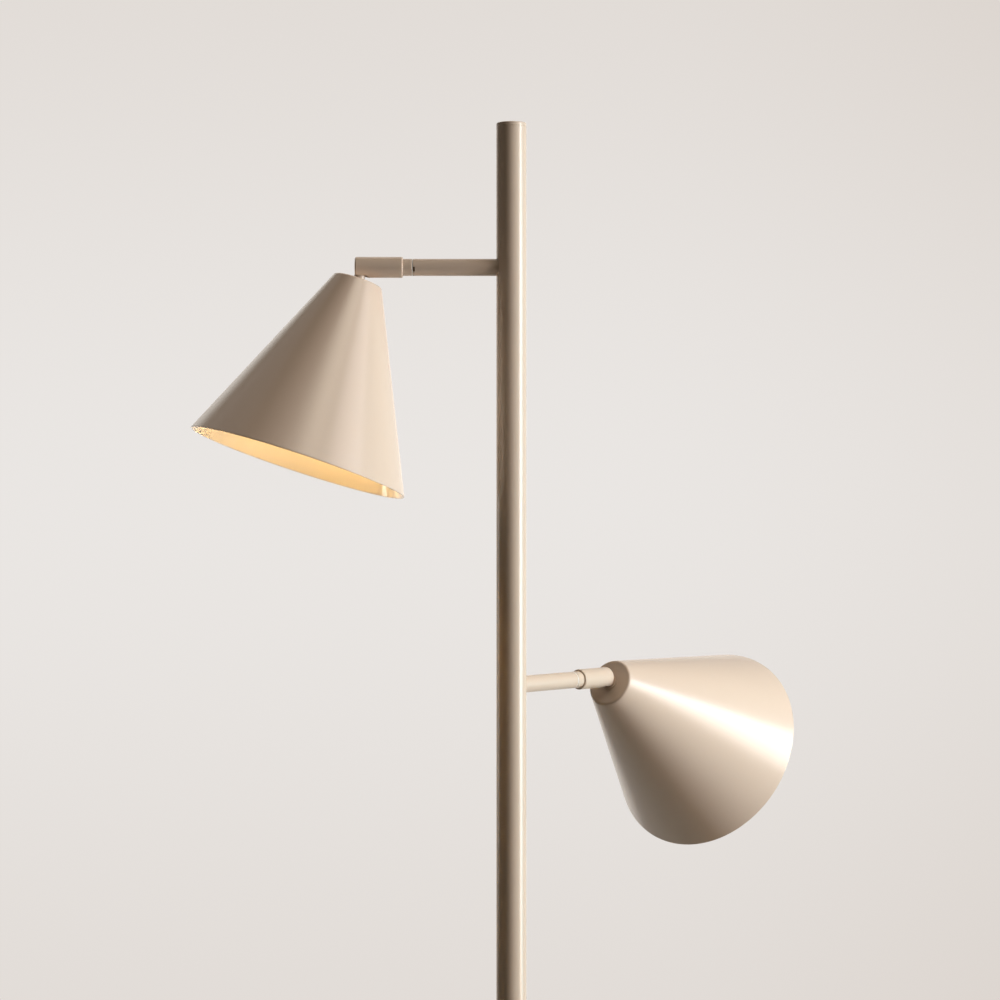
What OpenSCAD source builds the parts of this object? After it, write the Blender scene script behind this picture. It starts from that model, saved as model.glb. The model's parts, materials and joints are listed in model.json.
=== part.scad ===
// Floor lamp with two cone shades.
// A round weighted base carries a slim pole in two lengths, with a free, capped top end.
// Two short arms leave the pole at different heights. Each ends in a swivel about the arm
// and a tilt joint hidden in a sleeve, and carries a cone shade with a small screw-cap bulb.
// The origin is the centre of the foot pad's underside, +Z is up. Millimetres and degrees.

/* [Whole lamp] */
// Height of the pole's top end above the floor
lamp_h = 1500; // [1350:5:1700]

/* [Base] */
// Diameter of the base cover
base_d = 250; // [230:5:320]
// Sheet thickness of the base cover
cover_wall = 1.5; // [1:0.1:2]
// Rounding of the cover's top edge
cover_edge_r = 3; // [2.5:0.5:5]
// Gap between the cover's skirt and the floor
skirt_gap = 1.5; // [1:0.25:2.5]
// Thickness of the foot pad
pad_t = 3; // [2.5:0.5:5]
// Distance of the foot pad's edge inside the cover's edge
pad_inset = 7; // [5:1:15]
// Thickness of the cast weight
weight_t = 18; // [18:1:26]
// Gap around the cast weight, inside the cover's skirt
weight_gap = 0.8; // [0.4:0.1:2]
// Diameter of the recess for the nut, under the weight
recess_d = 46; // [40:1:60]
// Depth of the recess for the nut
recess_depth = 13; // [12:0.5:14]
// Diameter of the washer under the weight
base_washer_d = 30; // [24:1:36]
// Thickness of that washer
base_washer_t = 1.5; // [1:0.25:2]
// Width across flats of the threaded tube's nuts
nut_flats = 14; // [13:0.5:17]
// Thickness of the threaded tube's nuts
nut_t = 4; // [3:0.5:5]
// Outer diameter of the threaded tube in the base
nipple_d = 10; // [9:0.5:12]
// Wire bore of that threaded tube
nipple_bore = 6; // [5.5:0.1:7]
// Length of the threaded tube above the cover
nipple_rise = 18; // [12:1:19]

/* [Supply inlet] */
// Height of the inlet's centre above the floor
inlet_z = 10.5; // [10:0.25:12]
// Diameter of the hole in the cover for the inlet bush
inlet_hole_d = 11; // [10:0.5:12]
// Bore of the inlet bush, for the supply lead
inlet_bore = 7; // [6:0.5:8]
// Diameter of the bush's flanges
inlet_flange_d = 14; // [13:0.5:14.5]
// Thickness of each flange
inlet_flange_t = 1.5; // [1:0.25:2]
// Width of the channel behind the inlet
channel_w = 16; // [15:0.5:20]
// Depth of the channel behind the inlet
channel_depth = 15; // [15:0.25:16]
// Distance of the terminal block's centre inside the cover's edge
block_inset = 55; // [45:1:58]
// Length of the terminal block
block_len = 26; // [20:1:34]
// Width of the terminal block
block_w = 18; // [14:1:24]
// Height of the terminal block
block_h = 11; // [9:0.5:11.5]
// Depth of the terminal block's pocket
pocket_depth = 13; // [12.5:0.5:15]
// Diameter of the terminal screws
block_screw_d = 3.5; // [2.5:0.5:4]

/* [Pole] */
// Outer diameter of the pole
pole_d = 22; // [20:0.5:28]
// Wall of the pole tubes
pole_wall = 1.5; // [1:0.1:2]
// Height of the joint between the two tubes
pole_joint_z = 740; // [500:5:900]
// Length of the plug in the pole's foot
foot_plug_len = 30; // [24:1:50]
// Depth of the thread in that plug
foot_thread_depth = 20; // [20:0.5:22]
// Length of the threaded insert in the lower tube
insert_len = 28; // [24:1:50]
// Diameter of the stud that joins the tubes
joint_stud_d = 14; // [11:0.5:15]
// Length of the stud's free end
joint_stud_len = 22; // [14:1:23]
// Length of the stud's body in the upper tube
joint_body_len = 20; // [12:1:40]
// Wire bore of the stud
joint_bore = 8; // [6:0.5:9]
// Thickness of the top cap's head
cap_head_t = 2.8; // [2:0.2:6]
// Rounding of the top cap's edge
cap_edge_r = 0.8; // [0.3:0.1:1.5]
// Length of the top cap's spigot
cap_spigot_len = 12; // [6:1:30]

/* [Arms] */
// Distance of the upper arm below the pole's top end
upper_drop = 105.6; // [70:0.1:150]
// Distance of the lower arm below the pole's top end
lower_drop = 411; // [380:1:460]
// Turn of the upper arm about the pole
upper_turn = 180; // [150:1:210]
// Turn of the lower arm about the pole
lower_turn = 50; // [20:1:80]
// Outer diameter of the arm tube
arm_d = 12.5; // [12:0.1:13]
// Wall of the arm tube
arm_wall = 1.25; // [1:0.05:1.4]
// Distance of the arm tube's outer end from the pole's axis
arm_reach = 71.9; // [60:0.1:90]
// Height of the anchor inside the pole
anchor_h = 26; // [18:1:40]
// Bore for the leads, down through the anchor
anchor_bore = 11; // [10.6:0.1:12]
// Length of the threaded stud inside the arm tube
stud_grip = 17; // [10:1:24]
// Wire bore of the arm's threaded stud
stud_bore = 4.2; // [4:0.1:5]

/* [Swivel] */
// Width of the groove between the arm and the collar
swivel_gap = 0.8; // [0.5:0.1:1.2]
// Length of the collar that shows between groove and sleeve
collar_len = 6.5; // [4:0.1:10]
// Diameter of the spigot that turns in the bush
spigot_d = 7.4; // [7:0.1:7.6]
// Diameter of the thrust shoulder behind the collar
shoulder_d = 9.2; // [8.6:0.1:9.6]
// Length of the bush in the arm's end
bush_len = 11.7; // [9:0.1:14]
// Width of the key notch in the arm's end
notch_w = 1.5; // [1:0.1:2.5]
// Arc of the key notch
notch_arc = 37; // [20:1:60]
// Depth at which the bush's key lies below the arm's surface
key_sink = 0.7; // [0.3:0.1:1]
// Diameter of the stop pin
stop_pin_d = 1.2; // [0.8:0.1:1.4]
// Distance of the stop pin from the arm's end
stop_pin_inset = 5.9; // [4:0.1:7]
// Depth of the stop groove in the spigot
stop_depth = 0.8; // [0.5:0.1:0.9]
// Swivel to each side of upright
swivel_limit = 160; // [90:1:162]
// Thickness of the spring washer
swivel_washer_t = 0.8; // [0.5:0.1:1.2]
// Thickness of the round nut
swivel_nut_t = 4; // [3:0.1:6]
// Diameter of the round nut and of the spring washer
swivel_nut_d = 9.4; // [9:0.1:9.6]
// Wire bore through the spigot
spigot_bore = 4.2; // [4:0.1:4.6]
// Swivel of the upper head, about its arm
upper_swivel = 5.4; // [-45:0.1:45]
// Swivel of the lower head, about its arm
lower_swivel = 0; // [-45:0.1:45]

/* [Tilt joint] */
// Outer diameter of the sleeve
sleeve_d = 15.35; // [15:0.05:17]
// Length of the sleeve
sleeve_len = 35.1; // [30:0.1:45]
// Rounding of the sleeve's end edges
sleeve_edge_r = 0.45; // [0.1:0.05:0.6]
// Distance of the pivot from the sleeve's outer end
pivot_inset = 5.6; // [5.4:0.1:6]
// Reach of the slot behind the pivot
slot_back = 5.2; // [5:0.1:7]
// Radius of the tongue that tilts in the slot
tongue_r = 5.5; // [5:0.1:5.6]
// Width of the tongue and diameter of its neck
tongue_w = 8; // [7.6:0.1:8.2]
// Width of the wire window in the tongue
window_w = 4.2; // [4:0.1:4.3]
// Thickness of each friction washer beside the tongue
tilt_washer_t = 0.3; // [0.2:0.05:0.4]
// Outer diameter of the friction washers
tilt_washer_d = 8.8; // [7:0.1:8.8]
// Diameter of the pivot screws' thread
pivot_screw_d = 3; // [2.6:0.1:3.4]
// Diameter of the pivot screws' points
pivot_point_d = 2.2; // [1.8:0.1:2.4]
// Tilt of the upper shade, down from its arm
upper_tilt = 72.1; // [0:0.1:90]
// Tilt of the lower shade, down from its arm
lower_tilt = 25.1; // [0:0.1:90]

/* [Shade] */
// Distance of the shade's flat top from the pivot
shade_stand = 10.5; // [10.5:0.1:14]
// Diameter of the shade's flat top, with its shoulder
shade_top_d = 36.2; // [34:0.1:44]
// Diameter of the shade's mouth
shade_mouth_d = 163; // [140:1:175]
// Length of the shade along its axis
shade_len = 140.7; // [125:0.1:155]
// Sheet thickness of the shade
shade_wall = 1; // [0.7:0.1:1.4]
// Rounding of the shoulder at the shade's top
shoulder_r = 2.2; // [1.6:0.1:4]
// Diameter of the stem's flange on the shade
flange_d = 12; // [11:0.5:13]
// Thickness of that flange
flange_t = 0.8; // [0.5:0.1:1]
// Diameter of the threaded stem
stem_d = 10; // [9:0.5:11]
// Length of the threaded stem
stem_len = 13.5; // [12:0.5:15]

/* [Lampholder and bulb] */
// Outer diameter of the lampholder
socket_d = 27; // [26:0.5:30]
// Wall of the lampholder
socket_wall = 2; // [1.5:0.1:2.5]
// Length of the lampholder's cap
socket_cap_len = 20; // [18:0.5:26]
// Length of the lampholder's body
socket_body_len = 24; // [22:0.5:30]
// Thickness of the floor between the two
socket_floor_t = 3; // [2:0.5:4]
// Outer diameter of the bulb's screw cap
bulb_cap_d = 13.9; // [13.5:0.1:14.5]
// Length of the bulb's screw cap
bulb_cap_len = 18; // [16:0.5:20]
// Diameter of the bulb's glass
bulb_d = 45; // [38:1:50]
// Length of the bulb's glass
bulb_len = 55; // [50:1:66]
// Diameter of the bulb's neck
bulb_neck_d = 20; // [16:1:22]
// Thickness of the bulb's glass
glass_wall = 0.9; // [0.7:0.1:1.2]

/* [Internal leads] */
// Diameter of the feed lead in the pole
feed_d = 4.4; // [4:0.1:4.8]
// Diameter of each lamp's lead
lead_d = 3.2; // [2.8:0.1:3.2]
// Diameter of the splice where the feed lead divides
splice_d = 12; // [11:0.5:14]
// Length of the splice
splice_len = 22; // [16:1:30]
// Distance of the splice below the lower anchor
splice_drop = 14; // [6:1:40]

/* [Hidden] */

$fn = 64;
cut = 1;               // how far a cutting shape runs past the face it opens
fit_gap = 0.05;        // radial clearance of pressed and threaded pieces
run_gap = 0.03;        // radial clearance of pieces that turn in each other
bolt_gap = 0.25;       // radial clearance of plain holes round a thread
face_gap = 0.05;       // gap between flat faces that turn on each other
swing_gap = 0.4;       // gap round the tongue in its cavity
lead_gap = 0.5;        // gap between the ends of two leads at a joint

paint = [0.86, 0.79, 0.71];
steel = [0.72, 0.72, 0.72];
brass = [0.80, 0.66, 0.38];
iron = [0.30, 0.30, 0.31];
rubber = [0.12, 0.12, 0.12];
plastic = [0.92, 0.90, 0.86];

// Base stack, from the floor up
weight_top = pad_t + weight_t;
cover_top = weight_top + cover_wall;
weight_d = base_d - 2 * (cover_wall + weight_gap);
weight_edge = cover_edge_r;      // chamfer that clears the cover's rounded corner
block_y = base_d / 2 - block_inset;
recess_top = pad_t + recess_depth;
washer_bottom = recess_top - base_washer_t;
base_nut_bottom = washer_bottom - nut_t;
nipple_bottom = base_nut_bottom - 0.6;
nipple_top = cover_top + nipple_rise;
pocket_len = block_len + 4;
pocket_w = block_w + 12;
block_top = pad_t + pocket_depth;
feed_channel_w = 8;
feed_channel_depth = 8;
feed_low_z = pad_t + feed_d / 2 + 0.4;
feed_high_z = block_top - block_h + feed_d / 2 + 0.8;

// Pole
pole_r = pole_d / 2;
pole_bore = pole_d - 2 * pole_wall;
insert_d = pole_bore - 2 * fit_gap;
tube_top = lamp_h - cap_head_t;
upper_z = lamp_h - upper_drop;
lower_z = lamp_h - lower_drop;

// Arm, swivel and tilt joint, measured along the arm from the pole's axis
arm_bore = arm_d - 2 * arm_wall;
stud_d = arm_bore - 2 * fit_gap;
bush_start = arm_reach - bush_len;
washer_end = bush_start - face_gap;
swivel_washer_start = washer_end - swivel_washer_t;
nut_end = swivel_washer_start - face_gap;
nut_start = nut_end - swivel_nut_t;
spigot_start = nut_start - 0.5;
collar_start = arm_reach + swivel_gap;
sleeve_start = collar_start + collar_len;
sleeve_end = sleeve_start + sleeve_len;
pivot_x = sleeve_end - pivot_inset;
knuckle_end = sleeve_end - 0.3;
sleeve_bore = arm_d + 2 * fit_gap;
slot_w = tongue_w + 2 * (tilt_washer_t + 2 * face_gap);
cavity_r = tongue_r + swing_gap;
ball_r = sleeve_bore / 2 - swing_gap / 2;
bridge_z = tongue_w / 2 + 0.3;
stop_x = arm_reach - stop_pin_inset;
stop_floor_r = spigot_d / 2 - stop_depth;
stop_pin_angle = asin(stop_pin_d / 2 / (stop_floor_r + stop_depth / 2));
stop_rib = 2 * (180 - swivel_limit - stop_pin_angle - 2);

// Shade, lampholder and bulb, measured along the shade's axis from the pivot
shade_end = shade_stand + shade_len;
shade_angle = atan((shade_mouth_d - shade_top_d) / 2 / shade_len);
shade_nut_start = shade_stand + shade_wall;
socket_start = shade_nut_start + nut_t + 0.5;
stem_end = shade_stand + stem_len;
socket_floor = socket_start + socket_cap_len;
socket_end = socket_floor + socket_body_len;
shell_start = socket_floor + socket_floor_t;
shell_d = bulb_cap_d + 2;
bulb_cap_end = socket_end + 1;
bulb_cap_start = bulb_cap_end - bulb_cap_len;
bulb_end = bulb_cap_end + bulb_len;
bulb_centre = bulb_end - bulb_d / 2;

// Leads. The routes are corner points that the lead rounds off.
lead_sides = 8;
bend_steps = 6;
lead_bend = 6;
splice_top = lower_z - anchor_h / 2 - splice_drop;
feed_start = block_y - block_len / 2;
feed_stub = 8;        // straight stretch of the feed lead out of the terminal block
feed_dip = 26;        // distance from the block within which it drops to the floor of its channel
lead_back = 2.2;      // how far behind the pole's axis a lead climbs to its arm
lead_aside = 3.6;     // how far beside the lower arm's lead the upper one passes
feed_route = [
    [0, feed_start, feed_high_z],
    [0, feed_start - feed_stub, feed_high_z],
    [0, feed_start - feed_dip, feed_low_z],
    [0, 0, feed_low_z],
    [0, 0, splice_top - splice_len]
];
passing = turned([0.5, -lead_aside], lower_turn);
climbing = turned([-lead_back, 0], upper_turn);
upper_entry = turned([spigot_start - lead_gap, 0], upper_turn);
upper_route = [
    [passing.x, passing.y, splice_top],
    [passing.x, passing.y, lower_z + anchor_h],
    [climbing.x, climbing.y, upper_z - anchor_h],
    [climbing.x, climbing.y, upper_z],
    [upper_entry.x, upper_entry.y, upper_z]
];
lower_route = [
    [-lead_back, 0, splice_top - lower_z],
    [-lead_back, 0, 0],
    [spigot_start - lead_gap, 0, 0]
];

// ---- Shared shapes ----

function turned(p, a) = [p.x * cos(a) - p.y * sin(a), p.x * sin(a) + p.y * cos(a)];
function unit(v) = v / norm(v);

// Points of an arc about c, from angle a to angle b
function arc(c, r, a, b, steps = 8) =
    [for (i = [0 : steps]) c + r * [cos(a + (b - a) * i / steps), sin(a + (b - a) * i / steps)]];

// A route whose inner corners are rounded off over the given reach
function rounded(p, reach) = [
    for (i = [0 : len(p) - 1])
        if (i == 0 || i == len(p) - 1) p[i]
        else
            let (a = p[i] + reach * unit(p[i - 1] - p[i]), b = p[i] + reach * unit(p[i + 1] - p[i]))
            for (k = [0 : bend_steps])
                let (t = k / bend_steps)
                (1 - t) * (1 - t) * a + 2 * t * (1 - t) * p[i] + t * t * b
];

function tangents(p) = [
    for (i = [0 : len(p) - 1])
        i == 0 ? unit(p[1] - p[0])
        : i == len(p) - 1 ? unit(p[i] - p[i - 1])
        : unit(unit(p[i] - p[i - 1]) + unit(p[i + 1] - p[i]))
];

function first_side(t) = unit(cross(t, abs(t.z) < 0.9 ? [0, 0, 1] : [1, 0, 0]));

// Side vectors that are carried along the route without twisting
function sides(t) = [
    for (i = 0, s = first_side(t[0]); i < len(t);
         i = i + 1, s = i < len(t) ? unit(s - (s * t[i]) * t[i]) : s)
        s
];

// A round lead swept along the points of a route
module lead(p, d) {
    t = tangents(p);
    s = sides(t);
    n = lead_sides;
    rings = len(p);
    pts = [
        for (i = [0 : rings - 1])
            for (k = [0 : n - 1])
                p[i] + d / 2 * (cos(360 * k / n) * s[i] + sin(360 * k / n) * cross(t[i], s[i]))
    ];
    walls = [
        for (i = [0 : rings - 2])
            for (k = [0 : n - 1])
                let (a = i * n + k, b = i * n + (k + 1) % n)
                each [[a, a + n, b], [b, a + n, b + n]]
    ];
    start = [for (k = [0 : n - 1]) k];
    end = [for (k = [n - 1 : -1 : 0]) (rings - 1) * n + k];
    polyhedron(points = pts, faces = concat([start, end], walls));
}

module tube(outer_d, inner_d, h) {
    difference() {
        cylinder(d = outer_d, h = h);
        translate([0, 0, -cut]) cylinder(d = inner_d, h = h + 2 * cut);
    }
}

// Stands a shape that was made along +Z on the +X axis, at distance x.
// Its own +X then points down, and its +Y stays.
module along(x) {
    translate([x, 0, 0]) rotate([0, 90, 0]) children();
}

module hex_nut(flats, bore, h) {
    difference() {
        cylinder(d = flats / cos(30), h = h, $fn = 6);
        translate([0, 0, -cut]) cylinder(d = bore, h = h + 2 * cut);
    }
}

// ---- Places: an arm's frame, then its swivelled head, then its tilted shade ----

module at_arm(z, turn) {
    translate([0, 0, z]) rotate([0, 0, turn]) children();
}

module upper_arm_place() {
    at_arm(upper_z, upper_turn) children();
}

module lower_arm_place() {
    at_arm(lower_z, lower_turn) children();
}

module upper_head_place() {
    upper_arm_place() rotate([upper_swivel, 0, 0]) children();
}

module lower_head_place() {
    lower_arm_place() rotate([lower_swivel, 0, 0]) children();
}

module upper_shade_place() {
    upper_head_place() translate([pivot_x, 0, 0]) rotate([0, upper_tilt, 0]) children();
}

module lower_shade_place() {
    lower_head_place() translate([pivot_x, 0, 0]) rotate([0, lower_tilt, 0]) children();
}

// ---- Base ----

module base_pad() {
    color(rubber) cylinder(d = base_d - 2 * pad_inset, h = pad_t);
}

module base_weight() {
    r = weight_d / 2;
    color(iron) difference() {
        rotate_extrude($fn = 128) polygon([
            [0, pad_t], [r, pad_t], [r, weight_top - weight_edge],
            [r - weight_edge, weight_top], [0, weight_top]
        ]);
        translate([0, 0, pad_t]) cylinder(d = nipple_d + 2 * bolt_gap, h = weight_t + cut);
        translate([0, 0, pad_t - cut]) cylinder(d = recess_d, h = recess_depth + cut);
        translate([-feed_channel_w / 2, 0, pad_t - cut])
            cube([feed_channel_w, block_y, feed_channel_depth + cut]);
        translate([-pocket_w / 2, block_y - pocket_len / 2, pad_t - cut])
            cube([pocket_w, pocket_len, pocket_depth + cut]);
        translate([-channel_w / 2, block_y, pad_t - cut])
            cube([channel_w, base_d / 2, channel_depth + cut]);
    }
}

module base_cover() {
    r = base_d / 2;
    corner = [r - cover_edge_r, cover_top - cover_edge_r];
    hole_r = nipple_d / 2 + bolt_gap;
    color(paint) difference() {
        rotate_extrude($fn = 128) polygon(concat(
            [[r, skirt_gap]],
            arc(corner, cover_edge_r, 0, 90),
            [[hole_r, cover_top], [hole_r, cover_top - cover_wall]],
            arc(corner, cover_edge_r - cover_wall, 90, 0),
            [[r - cover_wall, skirt_gap]]
        ));
        translate([0, r - 4 * cover_wall, inlet_z]) rotate([-90, 0, 0])
            cylinder(d = inlet_hole_d + 2 * fit_gap, h = 8 * cover_wall);
    }
}

module base_nipple() {
    color(steel) translate([0, 0, nipple_bottom])
        tube(nipple_d, nipple_bore, nipple_top - nipple_bottom);
}

module base_washer() {
    color(steel) translate([0, 0, washer_bottom])
        tube(base_washer_d, nipple_d + 2 * bolt_gap, base_washer_t);
}

module base_nut() {
    color(steel) translate([0, 0, base_nut_bottom])
        hex_nut(nut_flats, nipple_d + 2 * fit_gap, nut_t);
}

// Flanged bush in the back of the skirt, where the supply lead would enter
module supply_inlet() {
    outside = base_d / 2 + face_gap;
    skirt_inside = base_d / 2 - cover_wall;
    inside = sqrt(pow(skirt_inside, 2) - pow(inlet_flange_d / 2, 2)) - face_gap;
    length = outside + inlet_flange_t - (inside - inlet_flange_t);
    color(rubber) translate([0, inside - inlet_flange_t, inlet_z]) rotate([-90, 0, 0])
        difference() {
            union() {
                cylinder(d = inlet_hole_d, h = length);
                cylinder(d = inlet_flange_d, h = inlet_flange_t);
                translate([0, 0, length - inlet_flange_t])
                    cylinder(d = inlet_flange_d, h = inlet_flange_t);
            }
            translate([0, 0, -cut]) cylinder(d = inlet_bore, h = length + 2 * cut);
        }
}

// The four screws of the terminal block, seen from below
module each_terminal() {
    for (x = [-1, 1], y = [-1, 1])
        translate([x * block_w / 4, block_y + y * block_len / 4, block_top - block_h])
            children();
}

module terminal_block() {
    color(plastic) difference() {
        translate([-block_w / 2, block_y - block_len / 2, block_top - block_h])
            cube([block_w, block_len, block_h]);
        each_terminal() translate([0, 0, -cut])
            cylinder(d = block_screw_d + 2 * fit_gap, h = block_h / 2 + cut);
    }
}

module terminal_screws() {
    color(brass) each_terminal() translate([0, 0, 0.5]) difference() {
        cylinder(d = block_screw_d, h = block_h / 2 - 0.5);
        translate([-block_screw_d, -0.3, -cut]) cube([2 * block_screw_d, 0.6, cut + 0.8]);
    }
}

// ---- Pole ----

module pole_foot_plug() {
    color(steel) translate([0, 0, cover_top]) difference() {
        cylinder(d = insert_d, h = foot_plug_len);
        translate([0, 0, -cut])
            cylinder(d = nipple_d + 2 * fit_gap, h = foot_thread_depth + cut);
        cylinder(d = nipple_bore + 1, h = foot_plug_len + cut);
    }
}

module pole_lower() {
    color(paint) translate([0, 0, cover_top]) tube(pole_d, pole_bore, pole_joint_z - cover_top);
}

module pole_insert() {
    color(steel) translate([0, 0, pole_joint_z - insert_len])
        tube(insert_d, joint_stud_d + 2 * fit_gap, insert_len);
}

module pole_joint_stud() {
    color(steel) difference() {
        union() {
            translate([0, 0, pole_joint_z - joint_stud_len])
                cylinder(d = joint_stud_d, h = joint_stud_len + cut);
            translate([0, 0, pole_joint_z]) cylinder(d = insert_d, h = joint_body_len);
        }
        translate([0, 0, pole_joint_z - joint_stud_len - cut])
            cylinder(d = joint_bore, h = joint_stud_len + joint_body_len + 2 * cut);
    }
}

module pole_upper() {
    hole_d = stud_d + 2 * bolt_gap;
    color(paint) difference() {
        translate([0, 0, pole_joint_z]) tube(pole_d, pole_bore, tube_top - pole_joint_z);
        upper_arm_place() along(0) cylinder(d = hole_d, h = pole_d);
        lower_arm_place() along(0) cylinder(d = hole_d, h = pole_d);
    }
}

module pole_cap() {
    edge = [pole_r - cap_edge_r, lamp_h - cap_edge_r];
    color(paint) rotate_extrude() polygon(concat(
        [[0, tube_top - cap_spigot_len], [insert_d / 2, tube_top - cap_spigot_len]],
        [[insert_d / 2, tube_top], [pole_r, tube_top]],
        arc(edge, cap_edge_r, 0, 90),
        [[0, lamp_h]]
    ));
}

// ---- Arm and swivel, along +X of the arm's frame ----

// Plug inside the pole that the arm screws into
module anchor() {
    color(steel) difference() {
        translate([0, 0, -anchor_h / 2]) cylinder(d = insert_d, h = anchor_h);
        translate([0, 0, -anchor_h / 2 - cut]) cylinder(d = anchor_bore, h = anchor_h + 2 * cut);
        along(0) cylinder(d = stud_d + 2 * fit_gap, h = pole_d);
    }
}

module arm_stud() {
    start = anchor_bore / 2 + 0.3;
    color(steel) along(start) tube(stud_d, stud_bore, pole_r + stud_grip - start);
}

module arm_studs() {
    upper_arm_place() arm_stud();
    lower_arm_place() arm_stud();
}

// Sector of a ring round the arm, from level on the arm's left side downwards
module notch_sector(inner_r, outer_r, w, sweep) {
    rotate([0, 0, 90 - notch_arc / 2 - sweep / 2]) rotate_extrude(angle = sweep)
        translate([inner_r, 0]) square([outer_r - inner_r, w]);
}

module arm() {
    color(paint) difference() {
        along(pole_r - 2.5) cylinder(d = arm_d, h = arm_reach - pole_r + 2.5);
        along(0) cylinder(d = arm_bore, h = arm_reach + cut);
        translate([0, 0, -arm_d]) cylinder(r = pole_r + fit_gap, h = 2 * arm_d);
        along(arm_reach - notch_w) notch_sector(arm_bore / 2 - cut, arm_d, notch_w + cut, notch_arc);
    }
}

// Bearing bush with the key that sits in the arm's notch
module bush() {
    outer_r = arm_bore / 2 - fit_gap;
    key_r = arm_d / 2 - key_sink;
    key_sweep = notch_arc - 3;
    color(brass) difference() {
        union() {
            along(bush_start) cylinder(r = outer_r, h = bush_len);
            along(arm_reach - notch_w + fit_gap)
                notch_sector(spigot_d / 2 + 0.3, key_r, notch_w - fit_gap, key_sweep);
        }
        along(bush_start - cut) cylinder(r = spigot_d / 2 + run_gap, h = bush_len + 2 * cut);
        translate([stop_x, 0, 0]) cylinder(d = stop_pin_d + 2 * fit_gap, h = arm_d);
    }
}

module stop_pin() {
    tip = stop_floor_r + 0.15;
    color(steel) translate([stop_x, 0, tip])
        cylinder(d = stop_pin_d, h = arm_bore / 2 - 2 * fit_gap - tip);
}

module stop_pins() {
    upper_arm_place() stop_pin();
    lower_arm_place() stop_pin();
}

module swivel_washer() {
    color(steel) along(swivel_washer_start)
        tube(swivel_nut_d - 0.2, spigot_d + 4 * fit_gap, swivel_washer_t);
}

module swivel_nut() {
    color(steel) difference() {
        along(nut_start) tube(swivel_nut_d, spigot_d + 2 * fit_gap, swivel_nut_t);
        translate([nut_start - cut, -0.6, -swivel_nut_d]) cube([cut + 1, 1.2, 2 * swivel_nut_d]);
    }
}

// ---- Knuckle, sleeve and pivot, along +X of the swivelled frame ----

// Slot that the neck swings in, open to the outer end and downwards
module neck_slot(top) {
    round_x = pivot_x - slot_back + slot_w / 2;
    translate([round_x, 0, -sleeve_d]) cylinder(d = slot_w, h = sleeve_d + top);
    translate([round_x, -slot_w / 2, -sleeve_d])
        cube([sleeve_end - round_x + cut, slot_w, sleeve_d + top]);
}

// Partial groove that the stop pin runs in. The rib left between its ends is the stop.
module stop_groove() {
    w = stop_pin_d + 0.4;
    along(stop_x - w / 2) rotate([0, 0, stop_rib / 2]) rotate_extrude(angle = 360 - stop_rib)
        translate([stop_floor_r, 0]) square([stop_depth + cut, w]);
}

module knuckle() {
    color(paint) difference() {
        union() {
            along(spigot_start) cylinder(d = spigot_d, h = collar_start - spigot_start + cut);
            along(arm_reach + face_gap) cylinder(d = shoulder_d, h = swivel_gap);
            along(collar_start) cylinder(d = arm_d, h = knuckle_end - collar_start);
        }
        along(spigot_start - cut) cylinder(d = spigot_bore, h = pivot_x - spigot_start);
        translate([pivot_x, slot_w / 2, 0]) rotate([90, 0, 0]) cylinder(r = cavity_r, h = slot_w);
        neck_slot(bridge_z);
        translate([pivot_x, arm_d, 0]) rotate([90, 0, 0])
            cylinder(d = pivot_screw_d + 2 * fit_gap, h = 2 * arm_d);
        stop_groove();
    }
}

module sleeve() {
    r = sleeve_d / 2;
    e = sleeve_edge_r;
    color(paint) difference() {
        along(sleeve_start) rotate_extrude() polygon(concat(
            [[sleeve_bore / 2, 0]],
            arc([r - e, e], e, -90, 0, 4),
            arc([r - e, sleeve_len - e], e, 0, 90, 4),
            [[sleeve_bore / 2, sleeve_len]]
        ));
        neck_slot(-sleeve_d / 6);
    }
}

// Two headless screws whose points carry the tongue, one from each side
module pivot_screws() {
    inner = slot_w / 2;
    outer = sqrt(pow(arm_d / 2, 2) - pow(pivot_screw_d / 2, 2)) - 0.1;
    tip = window_w / 2 + 0.3;
    color(steel) for (side = [-1, 1])
        translate([pivot_x, 0, 0]) rotate([-90 * side, 0, 0]) difference() {
            union() {
                translate([0, 0, tip]) cylinder(d = pivot_point_d, h = outer - tip);
                translate([0, 0, inner]) cylinder(d = pivot_screw_d, h = outer - inner);
            }
            translate([0, 0, outer - 0.7]) cylinder(d = 1.6, h = 1, $fn = 6);
        }
}

module tilt_washers() {
    color(steel) for (side = [-1, 1])
        translate([pivot_x, 0, 0]) rotate([-90 * side, 0, 0])
            translate([0, 0, tongue_w / 2 + face_gap])
                tube(tilt_washer_d, pivot_point_d + 4 * fit_gap, tilt_washer_t);
}

// ---- Shade and lampholder, along +X of the tilted frame, from the pivot ----

// Round tongue about the pivot. Its edges are turned down to clear the sleeve's bore.
module tongue() {
    side = tongue_w / 2;
    side_r = sqrt(pow(ball_r, 2) - pow(side, 2));
    edge_y = sqrt(pow(ball_r, 2) - pow(tongue_r, 2));
    rotate([90, 0, 0]) rotate_extrude() polygon([
        [0, -side], [side_r, -side], [tongue_r, -edge_y],
        [tongue_r, edge_y], [side_r, side], [0, side]
    ]);
}

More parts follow.
